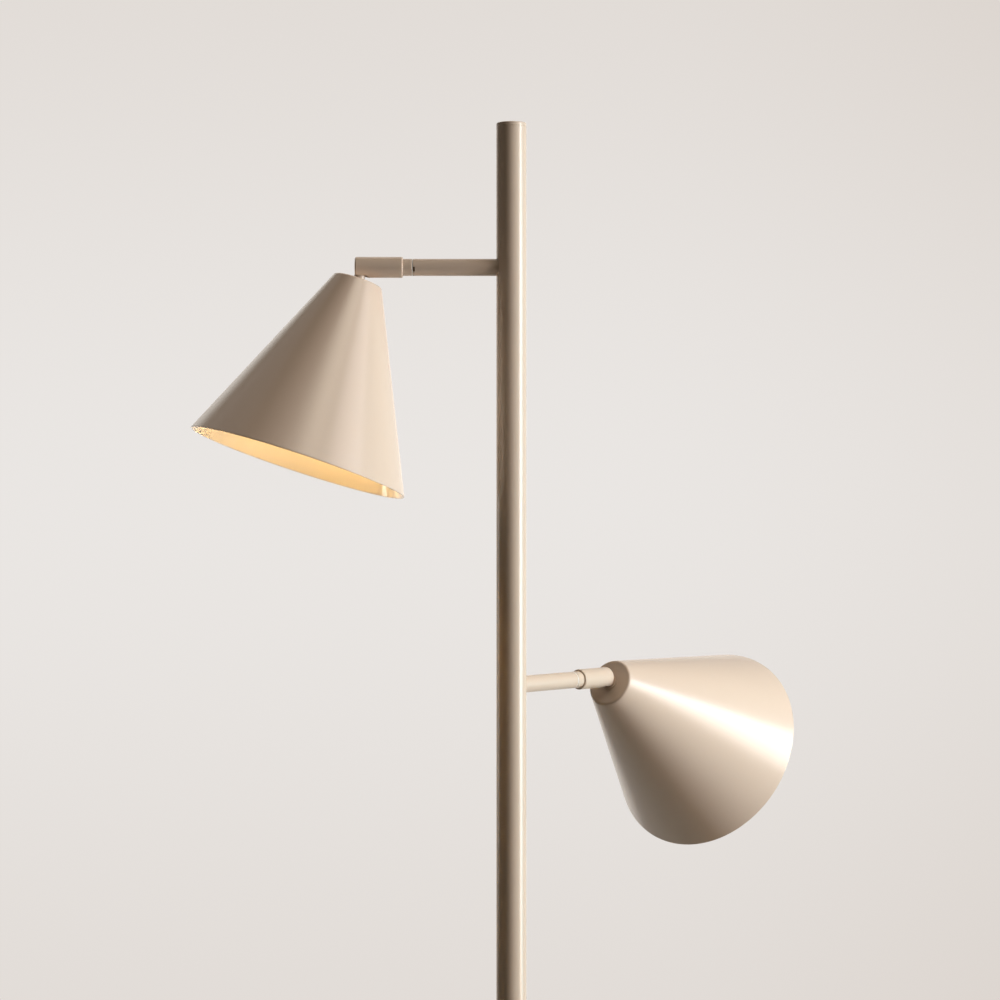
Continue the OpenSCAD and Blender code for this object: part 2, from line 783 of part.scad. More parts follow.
// Tongue, neck, flange and threaded stem in one turned piece, bored for the lead.
// The window lets the lead in from the arm at every tilt, from level to straight down.
module stem() {
    side = lead_d / 2 + 0.3;
    reach = 2 * tongue_r;
    open_angle = asin(side / reach);
    color(steel) difference() {
        union() {
            tongue();
            along(0) cylinder(d = tongue_w, h = shade_stand);
            along(shade_stand - flange_t) cylinder(d = flange_d, h = flange_t);
            along(shade_stand) cylinder(d = stem_d, h = stem_len);
        }
        along(0) cylinder(d = window_w, h = stem_end + cut);
        rotate([90, 0, 0]) translate([0, 0, -window_w / 2]) linear_extrude(window_w)
            polygon(concat([[side, side]], arc([0, 0], reach, 180 - open_angle, 270 + open_angle)));
        translate([0, tongue_w, 0]) rotate([90, 0, 0])
            cylinder(d = pivot_point_d + 2 * run_gap, h = 2 * tongue_w);
    }
}

// Spun cone with a flat top. Points are [radius, distance from the pivot].
module shade() {
    top_r = shade_top_d / 2;
    mouth_r = shade_mouth_d / 2;
    slope = 90 - shade_angle;
    centre = [top_r - shoulder_r * tan(slope / 2), shade_stand + shoulder_r];
    inner_r = shoulder_r - shade_wall;
    across = [cos(shade_angle), -sin(shade_angle)];
    hole_r = stem_d / 2 + fit_gap;
    lip = shade_wall / 4;
    mouth_outer = [mouth_r, shade_end];
    mouth_inner = [mouth_r - shade_wall / cos(shade_angle), shade_end];
    color(paint) along(0) rotate_extrude($fn = 128) polygon(concat(
        [[hole_r, shade_stand + shade_wall], [hole_r, shade_stand]],
        arc(centre, shoulder_r, -90, -shade_angle),
        [mouth_outer - lip * [sin(shade_angle), cos(shade_angle)]],
        [mouth_outer - lip * across - [0, lip * sin(shade_angle)]],
        [mouth_inner],
        arc(centre, inner_r, -shade_angle, -90)
    ));
}

module shade_nut() {
    color(steel) along(shade_nut_start) hex_nut(nut_flats, stem_d + 2 * fit_gap, nut_t);
}

// Cap of the lampholder, screwed on the stem's end
module socket_cap() {
    r = socket_d / 2;
    neck_r = stem_d / 2 + socket_wall;
    thread_r = stem_d / 2 + fit_gap;
    dome = r - neck_r;
    color(plastic) along(socket_start) rotate_extrude() polygon([
        [thread_r, 0], [neck_r, 0], [r, dome], [r, socket_cap_len],
        [r - socket_wall, socket_cap_len], [r - socket_wall, dome + 1],
        [thread_r + socket_wall, socket_wall + 2], [thread_r, socket_wall + 2]
    ]);
}

module socket_body() {
    r = socket_d / 2;
    color(plastic) along(socket_floor) rotate_extrude() polygon([
        [0, 0], [r, 0], [r, socket_body_len], [shell_d / 2 + fit_gap, socket_body_len],
        [shell_d / 2 + fit_gap, socket_floor_t], [0, socket_floor_t]
    ]);
}

module socket_shell() {
    color(brass) along(shell_start)
        tube(shell_d, bulb_cap_d + 2 * run_gap, socket_body_len - socket_floor_t - 2);
}

module bulb_cap() {
    r = bulb_cap_d / 2;
    color(steel) along(bulb_cap_start) rotate_extrude() polygon([
        [0, 0], [2.4, 0], [2.8, 1], [r - 1.6, 2.6], [r, 4], [r, bulb_cap_len], [0, bulb_cap_len]
    ]);
}

// Ball bulb on a tapered neck, open where the screw cap closes it
module bulb_glass() {
    neck_r = bulb_neck_d / 2;
    r = bulb_d / 2;
    c = [0, bulb_centre];
    meet = -50;
    inner = r - glass_wall;
    color("ivory") along(0) rotate_extrude() polygon(concat(
        [[neck_r - glass_wall, bulb_cap_end], [neck_r, bulb_cap_end], [neck_r, bulb_cap_end + 4]],
        arc(c, r, meet, 90, 20),
        arc(c, inner, 90, meet, 20),
        [[neck_r - glass_wall, bulb_cap_end + 4.5]]
    ));
}

// ---- Internal leads ----

module feed_lead() {
    color(rubber) lead(rounded(feed_route, lead_bend), feed_d);
}

module lead_splice() {
    color(plastic) translate([0, 0, splice_top - splice_len]) cylinder(d = splice_d, h = splice_len);
}

module upper_arm_lead() {
    color(rubber) lead(rounded(upper_route, lead_bend), lead_d);
}

module lower_arm_lead() {
    color(rubber) lower_arm_place() lead(rounded(lower_route, lead_bend), lead_d);
}

module knuckle_lead() {
    color(rubber) along(spigot_start)
        cylinder(d = lead_d, h = pivot_x - lead_d / 2 - lead_gap - spigot_start);
}

module shade_lead() {
    start = lead_d / 2 + lead_gap;
    color(rubber) along(start) cylinder(d = lead_d, h = socket_floor - start);
}

base_pad();
base_weight();
base_cover();
base_nipple();
base_washer();
base_nut();
supply_inlet();
terminal_block();
terminal_screws();
feed_lead();
lead_splice();
pole_foot_plug();
pole_lower();
pole_insert();
pole_joint_stud();
pole_upper();
pole_cap();
arm_studs();
stop_pins();

upper_arm_place() anchor();  // upper_anchor
upper_arm_place() arm();  // upper_arm
upper_arm_place() bush();  // upper_bush
upper_arm_place() swivel_washer();  // upper_swivel_washer
upper_head_place() swivel_nut();  // upper_swivel_nut
upper_head_place() knuckle();  // upper_knuckle
upper_head_place() sleeve();  // upper_sleeve
upper_head_place() pivot_screws();  // upper_pivot_screws
upper_head_place() tilt_washers();  // upper_tilt_washers
upper_shade_place() stem();  // upper_stem
upper_shade_place() shade();  // upper_shade
upper_shade_place() shade_nut();  // upper_shade_nut
upper_shade_place() socket_cap();  // upper_socket_cap
upper_shade_place() socket_body();  // upper_socket_body
upper_shade_place() socket_shell();  // upper_socket_shell
upper_shade_place() bulb_cap();  // upper_bulb_cap
upper_shade_place() bulb_glass();  // upper_bulb_glass
upper_arm_lead();
upper_head_place() knuckle_lead();  // upper_knuckle_lead
upper_shade_place() shade_lead();  // upper_shade_lead

lower_arm_place() anchor();  // lower_anchor
lower_arm_place() arm();  // lower_arm
lower_arm_place() bush();  // lower_bush
lower_arm_place() swivel_washer();  // lower_swivel_washer
lower_head_place() swivel_nut();  // lower_swivel_nut
lower_head_place() knuckle();  // lower_knuckle
lower_head_place() sleeve();  // lower_sleeve
lower_head_place() pivot_screws();  // lower_pivot_screws
lower_head_place() tilt_washers();  // lower_tilt_washers
lower_shade_place() stem();  // lower_stem
lower_shade_place() shade();  // lower_shade
lower_shade_place() shade_nut();  // lower_shade_nut
lower_shade_place() socket_cap();  // lower_socket_cap
lower_shade_place() socket_body();  // lower_socket_body
lower_shade_place() socket_shell();  // lower_socket_shell
lower_shade_place() bulb_cap();  // lower_bulb_cap
lower_shade_place() bulb_glass();  // lower_bulb_glass
lower_arm_lead();
lower_head_place() knuckle_lead();  // lower_knuckle_lead
lower_shade_place() shade_lead();  // lower_shade_lead
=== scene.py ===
# Floor lamp with two cone shades. Metres, +Z up, the origin under the middle of the base.

import json
import math

import bmesh
import bpy
from mathutils import Matrix, Vector


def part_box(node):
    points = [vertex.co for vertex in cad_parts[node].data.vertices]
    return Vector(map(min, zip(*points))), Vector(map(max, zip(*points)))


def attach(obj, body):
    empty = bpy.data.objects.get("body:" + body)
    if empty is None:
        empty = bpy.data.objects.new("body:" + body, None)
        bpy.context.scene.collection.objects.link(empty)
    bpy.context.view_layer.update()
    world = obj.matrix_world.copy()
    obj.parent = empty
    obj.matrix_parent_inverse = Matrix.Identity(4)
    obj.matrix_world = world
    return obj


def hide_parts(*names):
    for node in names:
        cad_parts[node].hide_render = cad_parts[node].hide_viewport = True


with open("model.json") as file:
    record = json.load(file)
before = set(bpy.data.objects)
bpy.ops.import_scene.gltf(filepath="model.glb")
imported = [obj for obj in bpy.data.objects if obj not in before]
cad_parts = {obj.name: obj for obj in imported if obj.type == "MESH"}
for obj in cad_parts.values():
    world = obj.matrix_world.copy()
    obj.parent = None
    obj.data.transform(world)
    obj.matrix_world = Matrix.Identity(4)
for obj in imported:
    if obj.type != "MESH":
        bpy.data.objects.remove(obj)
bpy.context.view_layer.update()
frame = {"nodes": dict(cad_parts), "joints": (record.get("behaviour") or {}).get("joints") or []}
nodes = frame["nodes"]
joints = {joint["name"]: joint for joint in frame["joints"]}

# ---- Camera ----
# Level, square on the pole, and turned a little so that the pole stands right of the middle.

camera_place = Vector((-0.01832, -1.91393, 1.2244))
camera_level = math.radians(90)
camera_turn = math.radians(-0.3)
camera_lens = 94.25
camera_film_width = 36
camera_sight = 60

camera_data = bpy.data.cameras.new("camera")
camera_data.sensor_width = camera_film_width
camera_data.lens = camera_lens
camera_data.clip_end = camera_sight
camera = bpy.data.objects.new("camera", camera_data)
camera.location = camera_place
camera.rotation_euler = (camera_level, 0, camera_turn)
bpy.context.scene.collection.objects.link(camera)
bpy.context.scene.camera = camera


# ---- Foot pad ----
# A round pad of black rubber under the cast weight. Its edge is moulded with a small radius,
# and its skin has the fine pebble of a rubber mould.

weld = 1e-7
sharp_angle = math.radians(35)


def feed(tree, socket, value):
    """Links an input to another node's output, or sets it to a value."""
    if isinstance(value, bpy.types.NodeSocket):
        tree.links.new(value, socket)
    else:
        socket.default_value = value


def add_node(tree, kind, inputs=None, **settings):
    """Adds a node, sets its properties, and feeds its inputs."""
    made = tree.nodes.new(kind)
    for name, value in settings.items():
        setattr(made, name, value)
    for name, value in (inputs or {}).items():
        feed(tree, made.inputs[name], value)
    return made


def new_group(name, kind, inputs, outputs):
    """A node group with named sockets. Returns its tree, its input node and its output node."""
    tree = bpy.data.node_groups.new(name, kind)
    for label, socket in inputs:
        tree.interface.new_socket(label, in_out="INPUT", socket_type="NodeSocket" + socket)
    for label, socket in outputs:
        tree.interface.new_socket(label, in_out="OUTPUT", socket_type="NodeSocket" + socket)
    return tree, add_node(tree, "NodeGroupInput"), add_node(tree, "NodeGroupOutput")


def surface_grain():
    """Shared effect: two sizes of grain on a surface, in tone, in gloss and in height."""
    tree, given, result = new_group(
        "surface_grain", "ShaderNodeTree",
        [("Color", "Color"), ("Tone", "Float"), ("Patch Size", "Float"), ("Grain Size", "Float"),
         ("Stretch", "Vector"), ("Depth", "Float"), ("Roughness", "Float"), ("Unevenness", "Float")],
        [("Color", "Color"), ("Roughness", "Float"), ("Normal", "Vector")])
    place = add_node(tree, "ShaderNodeTexCoord").outputs["Object"]
    stretched = add_node(tree, "ShaderNodeVectorMath", {0: place, 1: given.outputs["Stretch"]},
                         operation="MULTIPLY").outputs[0]

    def noise(vector, size, detail):
        scale = add_node(tree, "ShaderNodeMath", {0: 1.0, 1: size}, operation="DIVIDE").outputs[0]
        return add_node(tree, "ShaderNodeTexNoise",
                        {"Vector": vector, "Scale": scale, "Detail": detail}).outputs["Fac"]

    patches = noise(place, given.outputs["Patch Size"], detail=3.0)
    grain = noise(stretched, given.outputs["Grain Size"], detail=2.0)

    def swing(value, reach):
        centred = add_node(tree, "ShaderNodeMath", {0: value, 1: 0.5}, operation="SUBTRACT").outputs[0]
        return add_node(tree, "ShaderNodeMath", {0: centred, 1: reach}, operation="MULTIPLY").outputs[0]

    both = add_node(tree, "ShaderNodeMath", {0: patches, 1: grain}, operation="ADD").outputs[0]
    mean = add_node(tree, "ShaderNodeMath", {0: both, 1: 0.5}, operation="MULTIPLY").outputs[0]
    bright = add_node(tree, "ShaderNodeMath", {0: swing(mean, given.outputs["Tone"]), 1: 1.0},
                      operation="ADD").outputs[0]
    tinted = add_node(tree, "ShaderNodeVectorMath", {0: given.outputs["Color"], "Scale": bright},
                      operation="SCALE").outputs[0]
    uneven = swing(patches, given.outputs["Unevenness"])
    rough = add_node(tree, "ShaderNodeMath", {0: given.outputs["Roughness"], 1: uneven},
                     operation="ADD").outputs[0]
    bump = add_node(tree, "ShaderNodeBump", {
        "Height": grain, "Strength": 1.0, "Distance": given.outputs["Depth"]}).outputs["Normal"]
    for label, value in (("Color", tinted), ("Roughness", rough), ("Normal", bump)):
        tree.links.new(value, result.inputs[label])
    return tree


grain_group = surface_grain()


def finish(name, color, roughness, grain, depth, patch=0.08, tone=0.06, unevenness=0.08,
           stretch=(1, 1, 1), **surface):
    """A material whose colour, gloss and skin vary as the real finish does."""
    material = bpy.data.materials.new(name)
    material.use_nodes = True
    tree = material.node_tree
    shader = tree.nodes["Principled BSDF"]
    skin = add_node(tree, "ShaderNodeGroup", node_tree=grain_group)
    for label, value in (
            ("Color", (*color, 1)), ("Tone", tone), ("Patch Size", patch), ("Grain Size", grain),
            ("Stretch", stretch), ("Depth", depth), ("Roughness", roughness), ("Unevenness", unevenness)):
        skin.inputs[label].default_value = value
    tree.links.new(skin.outputs["Color"], shader.inputs["Base Color"])
    tree.links.new(skin.outputs["Roughness"], shader.inputs["Roughness"])
    tree.links.new(skin.outputs["Normal"], shader.inputs["Normal"])
    for label, value in surface.items():
        shader.inputs[label.replace("_", " ")].default_value = value
    return material


def rounded(corners, steps=6):
    """An outline whose corners, (radius, height, rounding), are turned into arcs."""
    points = []
    for i, (x, y, rounding) in enumerate(corners):
        corner = Vector((x, y))
        if not rounding:
            points.append(corner)
            continue
        before = (Vector(corners[i - 1][:2]) - corner).normalized()
        after = (Vector(corners[(i + 1) % len(corners)][:2]) - corner).normalized()
        half = before.angle(after) / 2
        centre = corner + (before + after).normalized() * rounding / math.sin(half)
        start = corner + before * rounding / math.tan(half) - centre
        end = corner + after * rounding / math.tan(half) - centre
        for k in range(steps + 1):
            points.append(centre + start.slerp(end, k / steps).normalized() * rounding)
    return points


def turned(name, corners, place, material, segments=96, steps=6, cutters=()):
    """A turned piece: the closed outline is spun about the Z axis of its place. Corners run with the
    metal on their left, seen with the axis on the left and height upwards. Cutters take their space
    out of it."""
    shape = bmesh.new()
    rings = []
    angles = [2 * math.pi * k / segments for k in range(segments)]
    for radius, height in rounded(corners, steps):
        if abs(radius) < weld:
            rings.append([shape.verts.new((0, 0, height))] * segments)
            continue
        spots = [(radius * math.cos(a), radius * math.sin(a), height) for a in angles]
        rings.append([shape.verts.new(spot) for spot in spots])
    for ring, after in zip(rings, rings[1:] + rings[:1]):
        for k in range(segments):
            around = [ring[k], ring[(k + 1) % segments], after[(k + 1) % segments], after[k]]
            corners_left = list(dict.fromkeys(around))
            if len(corners_left) > 2:
                shape.faces.new(corners_left)
    return finished_piece(name, shape, place, material, cutters)


def finished_piece(name, shape, place, material, cutters):
    """Makes a piece of one material from a bmesh, cuts it, and puts it in its place."""
    bmesh.ops.remove_doubles(shape, verts=shape.verts, dist=weld)
    bmesh.ops.recalc_face_normals(shape, faces=shape.faces)
    mesh = bpy.data.meshes.new(name)
    shape.to_mesh(mesh)
    shape.free()
    if cutters:
        mesh = cut_mesh(mesh, cutters)
    mesh.materials.clear()
    mesh.materials.append(material)
    return placed(name, mesh, place)


def placed(name, mesh, place):
    """A piece made of a mesh, in its place, and shaded smooth but for its sharp edges."""
    mesh.transform(place)
    mesh.shade_smooth()
    mesh.set_sharp_from_angle(angle=sharp_angle)
    piece = bpy.data.objects.new(name, mesh)
    bpy.context.scene.collection.objects.link(piece)
    piece.modifiers.new("even shading", "WEIGHTED_NORMAL").keep_sharp = True
    return piece


def cut_mesh(mesh, cutters):
    """The mesh without the space of the cutters, which are bmeshes in the same place."""
    blank = bpy.data.objects.new("blank", mesh)
    bpy.context.scene.collection.objects.link(blank)
    tools = []
    for shape in cutters:
        tool_mesh = bpy.data.meshes.new("cutter")
        shape.to_mesh(tool_mesh)
        shape.free()
        tool = bpy.data.objects.new("cutter", tool_mesh)
        bpy.context.scene.collection.objects.link(tool)
        taking = blank.modifiers.new("cut", "BOOLEAN")
        taking.operation = "DIFFERENCE"
        taking.solver = "EXACT"
        taking.object = tool
        tools.append(tool)
    evaluated = blank.evaluated_get(bpy.context.evaluated_depsgraph_get())
    result = bpy.data.meshes.new_from_object(evaluated)
    for used in [blank, *tools]:
        bpy.data.objects.remove(used)
    welded = bmesh.new()
    welded.from_mesh(result)
    bmesh.ops.remove_doubles(welded, verts=welded.verts, dist=10 * weld)
    bmesh.ops.dissolve_degenerate(welded, edges=welded.edges, dist=weld)
    welded.to_mesh(result)
    welded.free()
    return result


def stands_for(piece, body, slot, *replaced):
    """Attaches the piece to what it moves with and hides the CAD nodes it stands for. The slot is not
    used.
    """
    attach(piece, body)
    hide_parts(*replaced)
    return piece


upright = Matrix.Identity(4)
pad_low, pad_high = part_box("base_pad")
pad_edge_r = 0.0008
rubber_color = (0.022, 0.021, 0.020)

rubber = finish("black_rubber", rubber_color, roughness=0.62, grain=0.0006, depth=0.00004, tone=0.4)
foot_pad = turned("foot_pad", [
    (0, pad_low.z, 0), (pad_high.x, pad_low.z, pad_edge_r),
    (pad_high.x, pad_high.z, pad_edge_r), (0, pad_high.z, 0)], upright, rubber)
stands_for(foot_pad, "stand", "black_rubber", "base_pad")

# ---- Cast weight and its fastening ----
# A grey iron casting that fills the base, held by a threaded steel tube with a washer and a nut
# in a recess underneath.

iron_color = (0.060, 0.060, 0.064)
steel_color = (0.56, 0.56, 0.55)
turning_marks = (1, 1, 0.12)


def dress(material, *names):
    """Gives CAD nodes that keep their own shape a material."""
    for name in names:
        for slot in nodes[name].material_slots:
            slot.material = material


iron = finish("cast_iron", iron_color, roughness=0.58, grain=0.0016, depth=0.00018, tone=0.5, Metallic=0.6)
steel = finish("steel", steel_color, roughness=0.30, grain=0.0007, depth=0.000006, tone=0.10,
               stretch=turning_marks, Metallic=1.0)
dress(iron, "base_weight")
dress(steel, "base_nipple", "base_washer", "base_nut")

# ---- Base cover ----
# A pressed and coated steel dish over the weight. Its top edge is rolled over a small radius,
# and its skirt ends just above the floor.

# Painted shade: the pole's coat is the shades' coat made a little darker, so that the pole, arms,
# knuckles, sleeves, stems and base look less lit than these lamps light them.
pole_coat_painted_shade_color = (0.660, 0.533, 0.425)
cover_low, cover_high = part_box("base_cover")
cover_wall = 0.0015
cover_edge_r = 0.003
cover_hem_r = 0.0005
cover_hole_r = 0.00525

pole_coat = finish("pole_coat", pole_coat_painted_shade_color, roughness=0.22, grain=0.0009, depth=0.000008, tone=0.03,
                   unevenness=0.05)
cover_inner_r = cover_high.x - cover_wall
cover = turned("base_shell", [
    (cover_hole_r, cover_high.z - cover_wall, 0),
    (cover_inner_r, cover_high.z - cover_wall, cover_edge_r - cover_wall),
    (cover_inner_r, cover_low.z, cover_hem_r),
    (cover_high.x, cover_low.z, cover_hem_r),
    (cover_high.x, cover_high.z, cover_edge_r),
    (cover_hole_r, cover_high.z, 0)], upright, pole_coat, segments=192)
stands_for(cover, "stand", "pole_coat", "base_cover")

# ---- Supply inlet and terminal block ----
# A flanged rubber bush in the back of the skirt, and a white terminal block with brass screws in the
# weight's pocket behind it.

plastic_color = (0.78, 0.75, 0.69)
brass_color = (0.62, 0.44, 0.19)
white_plastic = finish("lampholder_plastic", plastic_color, roughness=0.42, grain=0.0008,
                       depth=0.00001, tone=0.05)
brass = finish("brass", brass_color, roughness=0.28, grain=0.0006, depth=0.000006, tone=0.16, Metallic=1.0)
dress(white_plastic, "terminal_block", "lead_splice")
dress(brass, "terminal_screws")

inlet_low, inlet_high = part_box("supply_inlet")
inlet_flange_r = (inlet_high.x - inlet_low.x) / 2
inlet_z = (inlet_high.z + inlet_low.z) / 2
inlet_len = inlet_high.y - inlet_low.y
inlet_flange_t = 0.0015
inlet_waist_r = 0.0055
inlet_bore_r = 0.0035
inlet_edge_r = 0.0006


def standing(origin, outward, side):
    """The place of a piece made along +Z, stood on the outward direction, with its +X to the side."""
    place = Matrix((side, outward.cross(side), outward)).transposed().to_4x4()
    place.translation = origin
    return place


inlet_place = standing(Vector((0, inlet_low.y, inlet_z)), Vector((0, 1, 0)), Vector((1, 0, 0)))
inlet_groove_end = inlet_len - inlet_flange_t
inlet = turned("inlet_bush", [
    (inlet_bore_r, inlet_len, inlet_edge_r), (inlet_bore_r, 0, inlet_edge_r / 2),
    (inlet_flange_r, 0, inlet_edge_r), (inlet_flange_r, inlet_flange_t, inlet_edge_r / 2),
    (inlet_waist_r, inlet_flange_t, 0), (inlet_waist_r, inlet_groove_end, 0),
    (inlet_flange_r, inlet_groove_end, inlet_edge_r / 2), (inlet_flange_r, inlet_len, inlet_edge_r)],
    inlet_place, rubber)
stands_for(inlet, "stand", "black_rubber", "supply_inlet")

# ---- Pole ----
# Two lengths of coated steel tube, joined by a stud and an insert, on a plug in the pole's foot. A turned
# cap closes the top end. The ends are broken a little, which leaves a fine seam at the joint and the cap.

pole_low, pole_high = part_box("pole_lower")
pole_r = pole_high.x
pole_wall = 0.0015
pole_bore_r = pole_r - pole_wall
pole_foot, pole_joint = pole_low.z, pole_high.z
pole_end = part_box("pole_upper")[1].z
cap_fit = 0.00005
cap_low, cap_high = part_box("pole_cap")
cap_spigot_r = pole_bore_r - cap_fit
cap_edge_r = 0.0008
seam_r = 0.00025

for name, low, high in (("lower", pole_foot, pole_joint), ("upper", pole_joint, pole_end)):
    tube = turned(f"pole_tube_{name}", [
        (pole_bore_r, high, 0), (pole_bore_r, low, 0), (pole_r, low, seam_r), (pole_r, high, seam_r)],
        upright, pole_coat)
    stands_for(tube, "stand", "pole_coat", f"pole_{name}")
cap = turned("pole_top_cap", [
    (0, cap_low.z, 0), (cap_spigot_r, cap_low.z, 0), (cap_spigot_r, pole_end, 0),
    (pole_r, pole_end, seam_r), (pole_r, cap_high.z, cap_edge_r), (0, cap_high.z, 0)],
    upright, pole_coat)
stands_for(cap, "stand", "pole_coat", "pole_cap")
dress(steel, "pole_foot_plug", "pole_insert", "pole_joint_stud")

# ---- Leads ----
# Round leads with a pale sheath. Each lamp's lead lies inside its arm, knuckle and stem.

sheath_color = (0.70, 0.68, 0.64)
lamp_leads = [name for name in nodes if name.endswith(("arm_lead", "knuckle_lead", "shade_lead"))]

sheath = finish("lead_sheath", sheath_color, roughness=0.50, grain=0.0009, depth=0.00001, tone=0.08)
dress(sheath, "feed_lead", *lamp_leads)

# ---- Arms ----
# Coated steel tubes, fitted to the pole's curve and held by a threaded stud in an anchor plug inside
# the pole. The free end has a rounded edge and a notch, which the bush's key fills.

arm_r = 0.00625
arm_bore_r = 0.005
arm_edge_r = 0.0003
arm_fit = 0.00005
arm_start = pole_r / 2
notch_w = 0.0015
notch_angles = (math.radians(233), math.radians(270))
overcut = 0.001
cutter_reach = 0.02


def prism(outline, low, high, across=(1, 0, 0), along=(0, 1, 0), through=(0, 0, 1)):
    """A cutter: an outline in the plane of two directions, drawn out through a third."""
    across, along, through = Vector(across), Vector(along), Vector(through)
    shape = bmesh.new()
    rings = []
    for z in (low, high):
        rings.append([shape.verts.new(across * x + along * y + through * z) for x, y in outline])
    shape.faces.new(rings[0])
    shape.faces.new(rings[1])
    for k in range(len(outline)):
        after = (k + 1) % len(outline)
        shape.faces.new([rings[0][k], rings[0][after], rings[1][after], rings[1][k]])
    bmesh.ops.recalc_face_normals(shape, faces=shape.faces)
    return shape


def arc(radius, start, end, steps, middle=(0, 0)):
    """Points on a round stretch of an outline, from one angle to another."""
    angles = [start + (end - start) * k / steps for k in range(steps + 1)]
    return [(middle[0] + radius * math.cos(a), middle[1] + radius * math.sin(a)) for a in angles]


def circle(radius, points, middle=(0, 0)):
    """A full round outline."""
    return arc(radius, 0, math.tau * (points - 1) / points, points - 1, middle)


heads = ("upper", "lower")
up = Vector((0, 0, 1))
level, hinge, arm_reach, pivot_x, arm_place, head_place = {}, {}, {}, {}, {}, {}
for head in heads:
    swivel, tilt = joints[f"{head}_swivel"], joints[f"{head}_tilt"]
    level[head] = Vector(swivel["axis"]).normalized()
    hinge[head] = Vector(tilt["axis"]).normalized()
    arm_reach[head] = Vector(swivel["pos_m"]).xy.length
    pivot_x[head] = Vector(tilt["pos_m"]).xy.length
    root = Vector(swivel["pos_m"]) - level[head] * arm_reach[head]
    arm_place[head] = standing(root, level[head], up)
    head_place[head] = standing(root, level[head], level[head].cross(hinge[head]))

for head in heads:
    reach = arm_reach[head]
    pole_side = prism(circle(pole_r + arm_fit, points=128), -cutter_reach, cutter_reach,
                      (0, 1, 0), (0, 0, 1), (1, 0, 0))
    notch_inside = arc(arm_bore_r - overcut, *notch_angles, steps=8)
    notch_outside = arc(arm_r + 2 * overcut, *reversed(notch_angles), steps=8)
    notch = prism(notch_inside + notch_outside, reach - notch_w, reach + overcut)
    arm = turned(f"{head}_arm_tube", [
        (arm_bore_r, reach, 0), (arm_bore_r, arm_start, 0),
        (arm_r, arm_start, 0), (arm_r, reach, arm_edge_r)],
        arm_place[head], pole_coat, cutters=(pole_side, notch))
    stands_for(arm, "stand", "pole_coat", f"{head}_arm")
dress(steel, "arm_studs", "upper_anchor", "lower_anchor")

# ---- Swivels ----
# A bronze bush in each arm's end, with a key in the arm's notch, carries the knuckle's spigot, and a thin
# nylon ring fills the groove in front of it. The bush is painted darker than bronze, as painted shade in
# the notch. A spring washer and a round nut draw the spigot up, and a pin stops it short of a full turn.

slip_ring_r = 0.0061
slip_ring_bore_r = 0.00465
slip_ring_t = 0.0006
slip_ring_gap = 0.0001
nylon_color = (0.88, 0.85, 0.80)
bush_bronze_and_shade_color = (0.20, 0.13, 0.075)

nylon = finish("slip_ring_nylon", nylon_color, roughness=0.38, grain=0.0008, depth=0.000002, tone=0.05)
for head in heads:
    ring_start = arm_reach[head] + slip_ring_gap
    ring_end = ring_start + slip_ring_t
    ring = turned(f"{head}_slip_ring", [
        (slip_ring_bore_r, ring_end, 0), (slip_ring_bore_r, ring_start, 0),
        (slip_ring_r, ring_start, 0), (slip_ring_r, ring_end, 0)], arm_place[head], nylon)
    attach(ring, "stand")

# Painted shade: the bush's colour is bronze darkened further, so that its key reads as the shade in the
# arm's notch.
notch_shade_bronze = finish("bronze_painted_dark_as_notch_shade", bush_bronze_and_shade_color, roughness=0.42, grain=0.0006, depth=0.000006, tone=0.2,
                Metallic=0.8)
dress(steel, "stop_pins")
for head in heads:
    dress(notch_shade_bronze, f"{head}_bush")
    dress(steel, f"{head}_swivel_washer", f"{head}_swivel_nut")

# ---- Knuckles and sleeves ----
# The knuckle is one coated turned piece: a spigot in the bush, a collar as thick as the arm, and a fork.
# A coated sleeve slides over the fork, and its slot lets the neck of the tilt joint swing down.

spigot_r = 0.0037
spigot_bore_r = 0.0021
spigot_start = 0.0535
shoulder_r = 0.0046
swivel_gap = 0.0008
face_gap = 0.00005
collar_len = 0.0065
collar_edge_r = 0.0004
sleeve_r = 0.007675
sleeve_bore_r = 0.0063
sleeve_len = 0.0351
sleeve_edge_r = 0.00115
sleeve_lip_r = 0.00012
sleeve_back_lip_r = 0.0004
knuckle_inset = 0.0003
slot_w = 0.0088
slot_back = 0.0052
sleeve_slot_top = -sleeve_r / 3
knuckle_slot_top = 0.0043
cavity_r = 0.0059


def neck_slot(pivot, end, top):
    """A cutter for the slot that the neck swings in, round at its inner end and open to the outer one."""
    half = slot_w / 2
    turn_x = pivot - slot_back + half
    inner_end = arc(half, -math.pi / 2, -3 * math.pi / 2, steps=16, middle=(turn_x, 0))
    open_end = end + 2 * overcut
    return prism([*inner_end, (open_end, half), (open_end, -half)], -cutter_reach, top,
                 (0, 0, 1), (0, 1, 0), (1, 0, 0))


